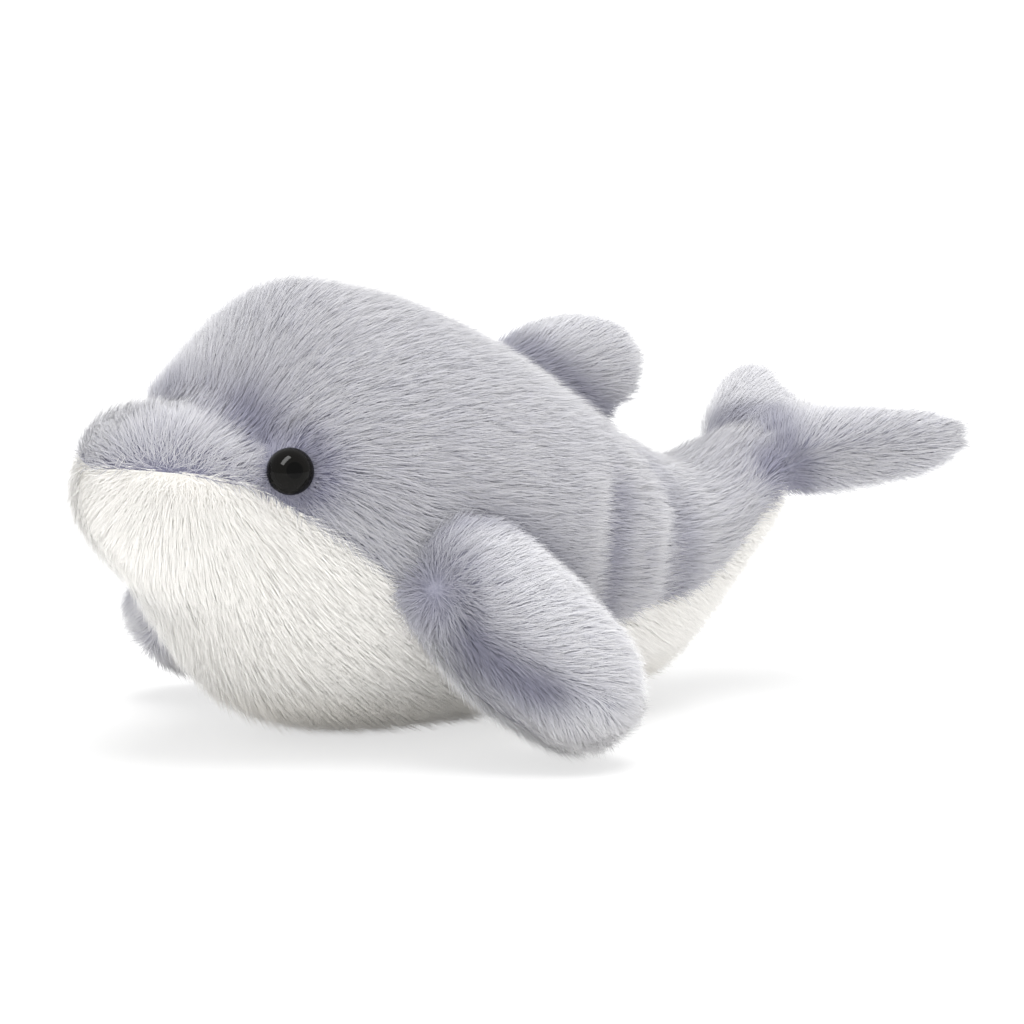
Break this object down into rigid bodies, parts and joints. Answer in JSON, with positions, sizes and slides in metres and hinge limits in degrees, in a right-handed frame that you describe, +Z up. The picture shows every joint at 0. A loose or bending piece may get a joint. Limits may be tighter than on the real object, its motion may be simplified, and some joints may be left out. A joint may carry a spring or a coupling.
{
  "type": "plush dolphin",
  "caption": "Plush dolphin lying on its belly: a long-pile grey back and white belly sewn over a soft stuffed core, with a bulging forehead, short snout, round plastic eyes and stuffed fins.",
  "frame": {"origin": "middle of the bounding box's underside, on the plane that the belly rests on", "axes": "+Z up, -Y the way the snout points, +X the toy's own left"},
  "size_m": [0.217, 0.3016, 0.143],
  "materials": {
    "grey_plush": "long-pile blue-grey plush",
    "white_plush": "long-pile warm white plush",
    "filling": "polyester fibre filling",
    "eye_plastic": "glossy, very dark brown with a black pupil",
    "washer_plastic": "natural white plastic"
  },
  "bodies": {
    "root": {"back_skin": "grey_plush", "belly_skin": "white_plush", "stuffing": "filling", "left_eye": "eye_plastic", "right_eye": "eye_plastic", "left_eye_washer": "washer_plastic", "right_eye_washer": "washer_plastic", "dorsal_fin": "grey_plush", "left_flipper": "grey_plush", "right_flipper": "grey_plush", "tail_flukes": "grey_plush"}
  },
  "joints": []
}
